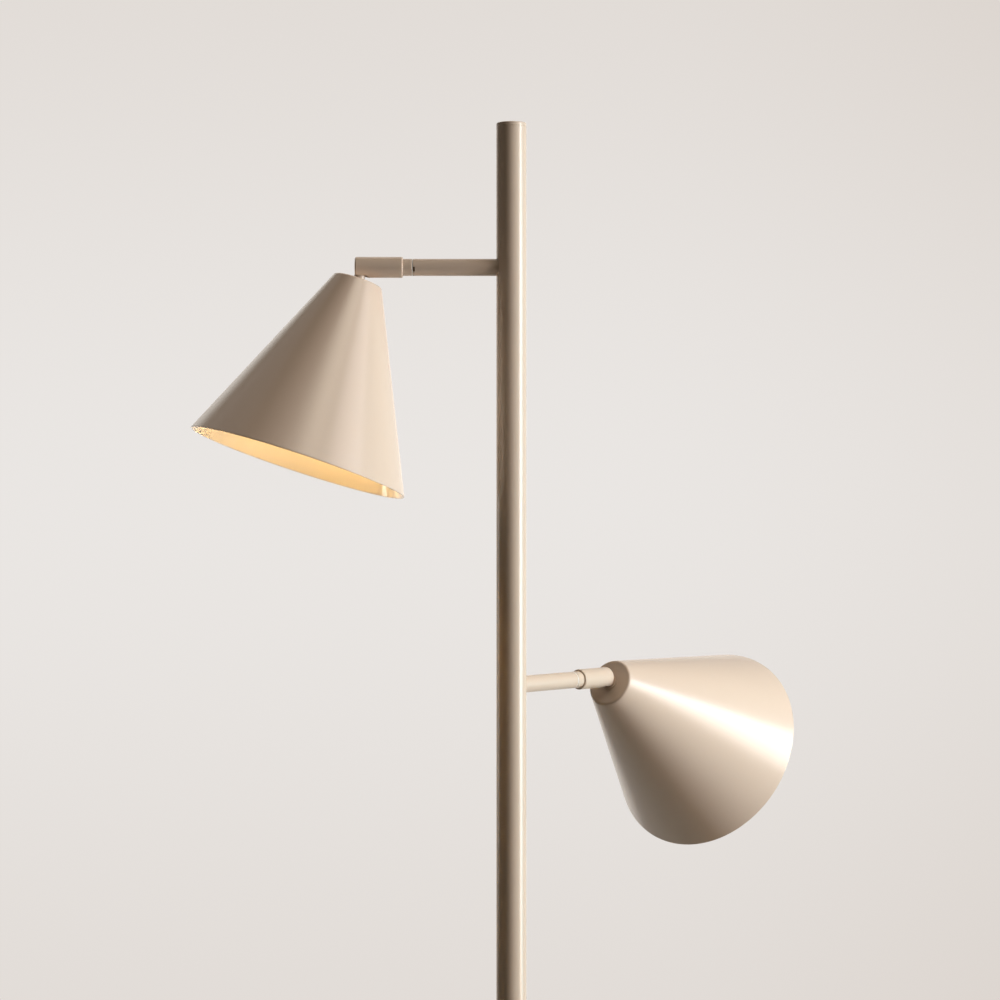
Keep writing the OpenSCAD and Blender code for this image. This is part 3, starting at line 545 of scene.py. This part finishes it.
for head in heads:
    pivot = pivot_x[head]
    collar_start = arm_reach[head] + swivel_gap
    sleeve_start = collar_start + collar_len
    sleeve_end = sleeve_start + sleeve_len
    fork_end = sleeve_end - knuckle_inset
    shoulder = arm_reach[head] + face_gap
    cavity = prism(circle(cavity_r, points=48, middle=(pivot, 0)), -slot_w / 2, slot_w / 2,
                   (0, 0, 1), (1, 0, 0), (0, 1, 0))
    knuckle = turned(f"{head}_turned_knuckle", [
        (spigot_bore_r, fork_end, 0), (spigot_bore_r, spigot_start, 0), (spigot_r, spigot_start, 0),
        (spigot_r, shoulder, 0), (shoulder_r, shoulder, 0), (shoulder_r, collar_start, 0),
        (arm_r, collar_start, collar_edge_r), (arm_r, fork_end, 0)],
        head_place[head], pole_coat, cutters=(cavity, neck_slot(pivot, fork_end, knuckle_slot_top)))
    stands_for(knuckle, f"{head}_head", "pole_coat", f"{head}_knuckle")
    sleeve = turned(f"{head}_plain_sleeve", [
        (sleeve_bore_r, sleeve_end, sleeve_lip_r), (sleeve_bore_r, sleeve_start, sleeve_back_lip_r),
        (sleeve_r, sleeve_start, sleeve_edge_r), (sleeve_r, sleeve_end, sleeve_edge_r)],
        head_place[head], pole_coat, segments=128, steps=8,
        cutters=(neck_slot(pivot, sleeve_end, sleeve_slot_top),))
    stands_for(sleeve, f"{head}_head", "pole_coat", f"{head}_sleeve")
    dress(steel, f"{head}_pivot_screws", f"{head}_tilt_washers")

# ---- Shades ----
# Each shade is a spun steel cone with a small flat top. The shoulder is rolled over a small radius and
# the rim is dressed. Outside it has the lamp's powder coat at its own colour, while the pole's copy of
# the coat is painted a little darker as shade. Inside it has a glossy off-white enamel.

shade_stand = 0.0105
shade_top_r = 0.0181
shade_mouth_r = 0.0815
shade_len = 0.1407
shade_wall = 0.001
shade_shoulder_r = 0.0022
shade_rim_r = 0.00045
shade_hole_r = 0.00505
shade_segments = 256
shade_fillet_steps = 5
shade_color = (0.705, 0.567, 0.457)
enamel_color = (0.84, 0.78, 0.68)

shade_coat = finish("shade_coat", shade_color, roughness=0.22, grain=0.0009, depth=0.000008, tone=0.03,
                    unevenness=0.05)
enamel = finish("shade_enamel", enamel_color, roughness=0.40, grain=0.006, depth=0.000001, tone=0.02,
                Coat_Weight=1.0, Coat_Roughness=0.05)


def shade_tree():
    """Spins the shade's outline, and gives the wall that faces the bulb its enamel."""
    sizes = ("Hole Radius", "Top Radius", "Mouth Radius", "Length", "Wall", "Shoulder Radius",
             "Rim Radius")
    others = (("Segments", "Int"), ("Coat", "Material"), ("Enamel", "Material"))
    tree, given, result = new_group(
        "spun_shade", "GeometryNodeTree",
        [*((size, "Float") for size in sizes), *others], [("Geometry", "Geometry")])
    hole, top, mouth, length, wall, shoulder, rim = (given.outputs[size] for size in sizes)

    def math_of(operation, a, b=0.0):
        return add_node(tree, "ShaderNodeMath", {0: a, 1: b}, operation=operation).outputs[0]

    def corner(radius, height):
        down = math_of("MULTIPLY", height, -1.0)
        from_path = math_of("SUBTRACT", radius, mouth)
        return add_node(tree, "ShaderNodeCombineXYZ", {"X": from_path, "Y": down}).outputs[0]

    slope = math_of("DIVIDE", math_of("SUBTRACT", mouth, top), length)
    stretch = math_of("SQRT", math_of("ADD", math_of("MULTIPLY", slope, slope), 1.0))
    across = math_of("MULTIPLY", wall, stretch)
    inner_corner_r = math_of("SUBTRACT", math_of("ADD", top, math_of("MULTIPLY", wall, slope)), across)
    inner_corners = (
        (corner(hole, wall), 0.0),
        (corner(inner_corner_r, wall), math_of("SUBTRACT", shoulder, wall)),
        (corner(math_of("SUBTRACT", mouth, across), length), rim))
    outer_corners = (
        (corner(mouth, length), rim),
        (corner(top, 0.0), shoulder),
        (corner(hole, 0.0), 0.0))
    corners = inner_corners + outer_corners
    index = add_node(tree, "GeometryNodeInputIndex").outputs[0]
    place = add_node(tree, "GeometryNodeIndexSwitch", {"Index": index}, data_type="VECTOR")
    rounding = add_node(tree, "GeometryNodeIndexSwitch", {"Index": index}, data_type="FLOAT")
    for i, (point, radius) in enumerate(corners):
        for switch, value in ((place, point), (rounding, radius)):
            if i >= len(switch.index_switch_items):
                switch.index_switch_items.new()
            feed(tree, switch.inputs[1 + i], value)
    line = add_node(tree, "GeometryNodeMeshLine", {"Count": len(corners)})
    bent = add_node(tree, "GeometryNodeSetPosition",
                    {"Geometry": line.outputs[0], "Position": place.outputs[0]})
    facing_bulb = math_of("LESS_THAN", index, len(inner_corners) - 0.5)
    marked = add_node(tree, "GeometryNodeStoreNamedAttribute",
                      {"Geometry": bent.outputs[0], "Name": "facing_bulb", "Value": facing_bulb})
    kept = add_node(tree, "GeometryNodeStoreNamedAttribute",
                    {"Geometry": marked.outputs[0], "Name": "rounding", "Value": rounding.outputs[0]})
    outline = add_node(tree, "GeometryNodeMeshToCurve", {"Mesh": kept.outputs[0]})
    closed = add_node(tree, "GeometryNodeSetSplineCyclic",
                      {"Geometry": outline.outputs[0], "Cyclic": True})
    wanted = add_node(tree, "GeometryNodeInputNamedAttribute", {"Name": "rounding"})
    filleted = add_node(tree, "GeometryNodeFilletCurve", {
        "Curve": closed.outputs[0], "Count": shade_fillet_steps, "Radius": wanted.outputs[0]}, mode="POLY")
    path = add_node(tree, "GeometryNodeCurvePrimitiveCircle",
                    {"Resolution": given.outputs["Segments"], "Radius": mouth})
    spun = add_node(tree, "GeometryNodeCurveToMesh",
                    {"Curve": path.outputs[0], "Profile Curve": filleted.outputs[0]})
    welded = add_node(tree, "GeometryNodeMergeByDistance", {"Geometry": spun.outputs[0], "Distance": weld})
    coated = add_node(tree, "GeometryNodeSetMaterial",
                      {"Geometry": welded.outputs[0], "Material": given.outputs["Coat"]})
    inside = add_node(tree, "GeometryNodeInputNamedAttribute", {"Name": "facing_bulb"})
    on_face = add_node(tree, "GeometryNodeFieldOnDomain", {0: inside.outputs[0]}, domain="FACE")
    all_inside = 0.75
    chosen = add_node(tree, "FunctionNodeCompare", {0: on_face.outputs[0], 1: all_inside},
                      operation="GREATER_THAN")
    finished = add_node(tree, "GeometryNodeSetMaterial", {
        "Geometry": coated.outputs[0], "Selection": chosen.outputs[0],
        "Material": given.outputs["Enamel"]})
    for label in ("facing_bulb", "rounding"):
        finished = add_node(tree, "GeometryNodeRemoveAttribute",
                            {"Geometry": finished.outputs[0], "Name": label})
    real = add_node(tree, "GeometryNodeRealizeInstances", {"Geometry": finished.outputs[0]})
    tree.links.new(real.outputs[0], result.inputs["Geometry"])
    return tree


def grown(name, tree, values, place):
    """A piece made by a Geometry Nodes tree, with its inputs set, as a plain mesh in its place."""
    maker = bpy.data.objects.new(name + "_maker", bpy.data.meshes.new(name + "_maker"))
    bpy.context.scene.collection.objects.link(maker)
    modifier = maker.modifiers.new("maker", "NODES")
    modifier.node_group = tree
    for item in tree.interface.items_tree:
        if item.in_out == "INPUT" and item.name in values:
            modifier[item.identifier] = values[item.name]
    maker.update_tag()
    evaluated = maker.evaluated_get(bpy.context.evaluated_depsgraph_get())
    mesh = bpy.data.meshes.new_from_object(evaluated)
    bpy.data.objects.remove(maker)
    return placed(name, mesh, place)


light_place = {}
for head in heads:
    tilt = joints[f"{head}_tilt"]
    drooped = Matrix.Rotation(math.radians(-tilt["range_deg"][0]), 3, hinge[head]) @ level[head]
    light_place[head] = standing(Vector(tilt["pos_m"]), drooped, hinge[head])

spun_shade = shade_tree()
for head in heads:
    shade = grown(f"{head}_cone_shade", spun_shade, {
        "Hole Radius": shade_hole_r, "Top Radius": shade_top_r, "Mouth Radius": shade_mouth_r,
        "Length": shade_len, "Wall": shade_wall, "Shoulder Radius": shade_shoulder_r,
        "Rim Radius": shade_rim_r, "Segments": shade_segments, "Coat": shade_coat, "Enamel": enamel},
        light_place[head] @ Matrix.Translation((0, 0, shade_stand)))
    stands_for(shade, f"{head}_light", "shade_coat", f"{head}_shade")

# ---- Stems ----
# Each light hangs on one turned piece, coated like the lamp: the tongue of the tilt joint, its neck, and a
# threaded stem through the shade's top, with a steel nut inside.

for head in heads:
    dress(pole_coat, f"{head}_stem")
    dress(steel, f"{head}_shade_nut")

# ---- Lampholders ----
# White moulded lampholders: a domed cap screwed on the stem's end, a body with a ring of grip ribs, and
# a threaded brass shell inside.

holder_r = 0.0135
holder_neck_r = 0.007
holder_thread_r = 0.00505
holder_cap_start = 0.016
holder_seam = 0.036
holder_end = 0.060
holder_wall = 0.002
holder_floor_t = 0.003
holder_bore_r = 0.008
holder_dome_r = 0.003
holder_dome_t = 0.001
holder_thread_len = 0.004
holder_edge_r = 0.0005
rib_r = 0.0004
rib_count = 40
rib_start = 0.0385
rib_end = 0.0565
rib_margin = 0.001
rib_steps = 13
rib_sides = 8
rib_fullness = 8.0
rib_tip = 0.02


def grip_ribs_tree():
    """A ring of upright ribs with round ends, moulded round a lampholder."""
    sizes = ("Ring Radius", "Rib Radius", "Start", "End")
    others = (("Count", "Int"), ("Plastic", "Material"))
    tree, given, result = new_group(
        "grip_ribs", "GeometryNodeTree",
        [*((size, "Float") for size in sizes), *others], [("Geometry", "Geometry")])
    ring_radius, rib_radius, start, end = (given.outputs[size] for size in sizes)
    foot = add_node(tree, "ShaderNodeCombineXYZ", {"X": ring_radius, "Z": start}).outputs[0]
    tip = add_node(tree, "ShaderNodeCombineXYZ", {"X": ring_radius, "Z": end}).outputs[0]
    spine = add_node(tree, "GeometryNodeCurvePrimitiveLine", {"Start": foot, "End": tip})
    steps = add_node(tree, "GeometryNodeResampleCurve", {"Curve": spine.outputs[0], "Count": rib_steps})

    def math_of(operation, a, b):
        return add_node(tree, "ShaderNodeMath", {0: a, 1: b}, operation=operation).outputs[0]

    along = add_node(tree, "GeometryNodeSplineParameter").outputs["Factor"]
    from_middle = math_of("MULTIPLY", math_of("SUBTRACT", along, 0.5), 2.0)
    taper = math_of("SUBTRACT", 1.0, math_of("POWER", from_middle, rib_fullness))
    girth = math_of("MULTIPLY", math_of("MAXIMUM", taper, rib_tip), rib_radius)
    section = add_node(tree, "GeometryNodeCurvePrimitiveCircle", {"Resolution": rib_sides, "Radius": 1.0})
    rib = add_node(tree, "GeometryNodeCurveToMesh", {
        "Curve": steps.outputs[0], "Profile Curve": section.outputs[0], "Scale": girth, "Fill Caps": True})
    count = given.outputs["Count"]
    spots = add_node(tree, "GeometryNodeMeshLine", {"Count": count, "Offset": (0, 0, 0)})
    index = add_node(tree, "GeometryNodeInputIndex").outputs[0]
    turn = math_of("MULTIPLY", math_of("DIVIDE", index, count), math.tau)
    angle = add_node(tree, "ShaderNodeCombineXYZ", {"Z": turn}).outputs[0]
    ring = add_node(tree, "GeometryNodeInstanceOnPoints", {
        "Points": spots.outputs[0], "Instance": rib.outputs[0], "Rotation": angle})
    real = add_node(tree, "GeometryNodeRealizeInstances", {"Geometry": ring.outputs[0]})
    made = add_node(tree, "GeometryNodeSetMaterial",
                    {"Geometry": real.outputs[0], "Material": given.outputs["Plastic"]})
    tree.links.new(made.outputs[0], result.inputs["Geometry"])
    return tree


grip_ribs = grip_ribs_tree()
holder_inner_r = holder_r - holder_wall
holder_dome_end = holder_cap_start + holder_r - holder_neck_r
holder_thread_end = holder_cap_start + holder_thread_len
holder_floor = holder_seam + holder_floor_t
grip_r = holder_r - rib_r
grip_start = rib_start - rib_margin
grip_end = rib_end + rib_margin
for head in heads:
    holder_cap = turned(f"{head}_holder_cap", [
        (holder_thread_r, holder_cap_start, 0), (holder_neck_r, holder_cap_start, holder_edge_r),
        (holder_r, holder_dome_end, holder_dome_r), (holder_r, holder_seam, holder_edge_r),
        (holder_inner_r, holder_seam, 0), (holder_inner_r, holder_dome_end + holder_dome_t, 0),
        (holder_thread_r + holder_wall, holder_thread_end, 0), (holder_thread_r, holder_thread_end, 0)],
        light_place[head], white_plastic)
    stands_for(holder_cap, f"{head}_light", "lampholder", f"{head}_socket_cap")
    holder_body = turned(f"{head}_holder_body", [
        (0, holder_seam, 0), (holder_r, holder_seam, holder_edge_r),
        (holder_r, grip_start, holder_edge_r), (grip_r, grip_start, 0),
        (grip_r, grip_end, 0), (holder_r, grip_end, holder_edge_r),
        (holder_r, holder_end, holder_edge_r), (holder_bore_r, holder_end, holder_edge_r),
        (holder_bore_r, holder_floor, 0), (0, holder_floor, 0)], light_place[head], white_plastic)
    ribs = grown(f"{head}_grip_ribs", grip_ribs, {
        "Ring Radius": grip_r, "Rib Radius": rib_r, "Start": rib_start, "End": rib_end,
        "Count": rib_count, "Plastic": white_plastic}, light_place[head])
    stands_for(holder_body, f"{head}_light", "lampholder", f"{head}_socket_body")
    stands_for(ribs, f"{head}_light", "lampholder", f"{head}_socket_body")
    dress(brass, f"{head}_socket_shell")

# ---- Bulbs ----
# Opal ball bulbs on nickelled screw caps. The glass is lit from inside, so that its outer face glows.

glass_start = 0.061
glass_neck_r = 0.010
glass_neck_end = 0.065
glass_r = 0.0225
glass_middle = 0.0935
glass_wall = 0.0009
glass_meet = math.radians(-50)
glass_steps = 28
opal_color = (0.90, 0.86, 0.78)
opal_inside_color = (0.92, 0.90, 0.85)
glow_color = (1.0, 0.69, 0.34, 1)
glow_strength = 16.3

opal = finish("opal_glass", opal_color, roughness=0.30, grain=0.004, depth=0.0, tone=0.02,
              Emission_Color=glow_color, Emission_Strength=glow_strength)
opal.cycles.emission_sampling = "FRONT"
opal_inside = finish("opal_glass_inside", opal_inside_color, roughness=0.35, grain=0.004, depth=0.0,
                     tone=0.02)
ball = arc(glass_r, glass_meet, math.pi / 2, glass_steps, middle=(0, glass_middle))
hollow = arc(glass_r - glass_wall, math.pi / 2, glass_meet, glass_steps, middle=(0, glass_middle))
neck_inner_r = glass_neck_r - glass_wall
bulb_outline = [
    (neck_inner_r, glass_start), (glass_neck_r, glass_start), (glass_neck_r, glass_neck_end),
    *ball[:-1], (0, ball[-1][1]), (0, hollow[0][1]), *hollow[1:],
    (neck_inner_r, glass_neck_end + glass_wall / 2)]
for head in heads:
    dress(steel, f"{head}_bulb_cap")
    bulb = turned(f"{head}_opal_bulb", [(x, z, 0) for x, z in bulb_outline], light_place[head], opal)
    bulb.data.materials.append(opal_inside)
    middle = light_place[head] @ Vector((0, 0, glass_middle))
    for face in bulb.data.polygons:
        face.material_index = int((face.center - middle).dot(face.normal) < 0)
    stands_for(bulb, f"{head}_light", "bulb_glass", f"{head}_bulb_glass")

# ---- Studio ----
# A pale round floor that fades into a plain backdrop. The key light is a group of tall softboxes on the
# right, which show as one bright band. Weak fills stand above, on the left and behind the lamp, with a
# narrow strip at the left that draws the pole's edge.

focus = Vector((0, 0, 1.2))
near = 1.5
far = 6.0


def softbox(name, azimuth, elevation, width, height, distance, radiance, color):
    """A rectangular light that faces the lamp. Azimuth 0 is the camera's side, and 90 is the right. Its
    width and height are the angles that it fills, seen from the lamp."""
    a, e = math.radians(azimuth), math.radians(elevation)
    towards = Vector((math.sin(a) * math.cos(e), -math.cos(a) * math.cos(e), math.sin(e)))
    data = bpy.data.lights.new(name, "AREA")
    data.shape = "RECTANGLE"
    data.size = 2 * distance * math.tan(math.radians(width / 2))
    data.size_y = 2 * distance * math.tan(math.radians(height / 2))
    data.energy = radiance * math.pi * data.size * data.size_y
    data.color = color
    box = bpy.data.objects.new(name, data)
    box.location = focus + towards * distance
    box.rotation_euler = (-towards).to_track_quat("-Z", "Y").to_euler()
    box.visible_camera = False
    bpy.context.scene.collection.objects.link(box)


softbox("key_middle", 77, 0, 15, 46, near, 7.8, (1.0, 0.96, 0.82))
softbox("key_core", 78, 4, 6, 46, near, 9.5, (0.45, 0.68, 1.0))
softbox("key_front", 68, 6, 12, 34, near, 7.8, (1.0, 0.93, 0.93))
softbox("key_back", 90, -6, 14, 44, near, 6.2, (0.45, 0.88, 1.0))
softbox("key_top", 72, 36, 28, 24, near, 2.3, (1.0, 0.88, 0.88))
softbox("floor_bounce", 80, -30, 20, 16, near, 3.2, (1.0, 0.42, 0.22))
softbox("top_fill", 60, 62, 40, 24, far, 3.3, (1.0, 0.90, 0.74))
softbox("back_top", 150, 62, 40, 30, far, 0.8, (1.0, 0.80, 0.70))
softbox("rim_strip", -114.5, -4.5, 7, 12, far, 5.0, (1.0, 0.94, 0.88))
softbox("back_side", -142, -4, 16, 36, far, 0.8, (1.0, 0.80, 0.60))
softbox("back_glow", 180, -6, 40, 40, far, 0.3, (1.0, 0.90, 0.75))
softbox("back_left_top", -160, 30, 30, 30, far, 0.58, (1.0, 1.0, 0.92))
softbox("left_fill", -98, 44, 40, 30, near, 0.46, (1.0, 0.95, 0.94))

backdrop_peak = (0.820, 0.791, 0.767, 1)
backdrop_edge = (0.752, 0.708, 0.672, 1)
height_fall_end = 0.24
side_fall_start = 0.03
side_fall_end = 0.32
side_fall_share = 0.95
dim_low = (0.016, 0.012, 0.008, 1)
dim_high = (0.042, 0.032, 0.023, 1)
dim_start = -0.2
mirrored_start = 0.3
mirrored_full = 1.0

world = bpy.data.worlds.new("studio")
world.use_nodes = True
bpy.context.scene.world = world
air = world.node_tree
air.nodes.clear()


def smooth_step(value, start, end, share=1.0):
    """Rises smoothly from 0 to its share while the value goes from start to end."""
    return add_node(air, "ShaderNodeMapRange", {
        "Value": value, "From Min": start, "From Max": end, "To Max": share},
        interpolation_type="SMOOTHSTEP").outputs[0]


def mixed(share, first, second, **settings):
    """A colour between two others."""
    return add_node(air, "ShaderNodeMix", {0: share, 6: first, 7: second}, data_type="RGBA",
                    **settings).outputs[2]


direction = add_node(air, "ShaderNodeTexCoord").outputs["Generated"]
looking = add_node(air, "ShaderNodeSeparateXYZ", {0: direction}).outputs
off_level = add_node(air, "ShaderNodeMath", {0: looking["Z"]}, operation="ABSOLUTE").outputs[0]
height_fall = smooth_step(off_level, 0.0, height_fall_end)
side_fall = smooth_step(looking["X"], side_fall_start, side_fall_end, side_fall_share)
both_falls = add_node(air, "ShaderNodeMath", {0: height_fall, 1: side_fall}, operation="ADD").outputs[0]
backdrop = mixed(both_falls, backdrop_peak, backdrop_edge, clamp_factor=False)
dim = mixed(smooth_step(looking["Z"], dim_start, 1.0), dim_low, dim_high)
mirrored = mixed(smooth_step(looking["Y"], mirrored_start, mirrored_full), dim_high, backdrop)
path = add_node(air, "ShaderNodeLightPath").outputs
glossy_or_clear = add_node(air, "ShaderNodeMath", {
    0: path["Is Glossy Ray"], 1: path["Is Transmission Ray"]}, operation="MAXIMUM").outputs[0]
around = mixed(glossy_or_clear, dim, mirrored)
seen = mixed(path["Is Camera Ray"], around, backdrop)
light = add_node(air, "ShaderNodeBackground", {"Color": seen, "Strength": 1.0}).outputs[0]
add_node(air, "ShaderNodeOutputWorld", {"Surface": light})

floor_r = 3.2
floor_fade_start = 0.9
floor_color = (0.36, 0.345, 0.33, 1)
floor_glow = (0.50, 0.475, 0.455, 1)
floor_dull_color = (0.27, 0.25, 0.20, 1)

floor_mesh = bpy.data.meshes.new("floor")
shape = bmesh.new()
bmesh.ops.create_circle(shape, cap_ends=True, radius=floor_r, segments=96)
shape.to_mesh(floor_mesh)
shape.free()
floor = bpy.data.objects.new("floor", floor_mesh)
bpy.context.scene.collection.objects.link(floor)
floor_paint = bpy.data.materials.new("floor")
floor_paint.use_nodes = True
tree = floor_paint.node_tree
tree.nodes.clear()
spot = add_node(tree, "ShaderNodeTexCoord").outputs["Object"]
radius = add_node(tree, "ShaderNodeVectorMath", {0: spot}, operation="LENGTH").outputs["Value"]
outwards = add_node(tree, "ShaderNodeMapRange", {
    "Value": radius, "From Min": floor_fade_start, "From Max": floor_r},
    interpolation_type="SMOOTHERSTEP").outputs[0]
from_below = add_node(tree, "ShaderNodeNewGeometry").outputs["Backfacing"]
fade = add_node(tree, "ShaderNodeMath", {0: outwards, 1: from_below}, operation="MAXIMUM").outputs[0]
matt = add_node(tree, "ShaderNodeBsdfDiffuse", {"Color": floor_color}).outputs[0]
even = add_node(tree, "ShaderNodeEmission", {"Color": floor_glow}).outputs[0]
pale = add_node(tree, "ShaderNodeAddShader", {0: matt, 1: even}).outputs[0]
dark = add_node(tree, "ShaderNodeBsdfDiffuse", {"Color": floor_dull_color}).outputs[0]
ray = add_node(tree, "ShaderNodeLightPath").outputs["Is Diffuse Ray"]
lit = add_node(tree, "ShaderNodeMixShader", {0: ray, 1: pale, 2: dark}).outputs[0]
clear = add_node(tree, "ShaderNodeBsdfTransparent").outputs[0]
laid = add_node(tree, "ShaderNodeMixShader", {0: fade, 1: lit, 2: clear}).outputs[0]
add_node(tree, "ShaderNodeOutputMaterial", {"Surface": laid})
floor_mesh.materials.append(floor_paint)

bpy.context.scene.view_settings.view_transform = "Standard"
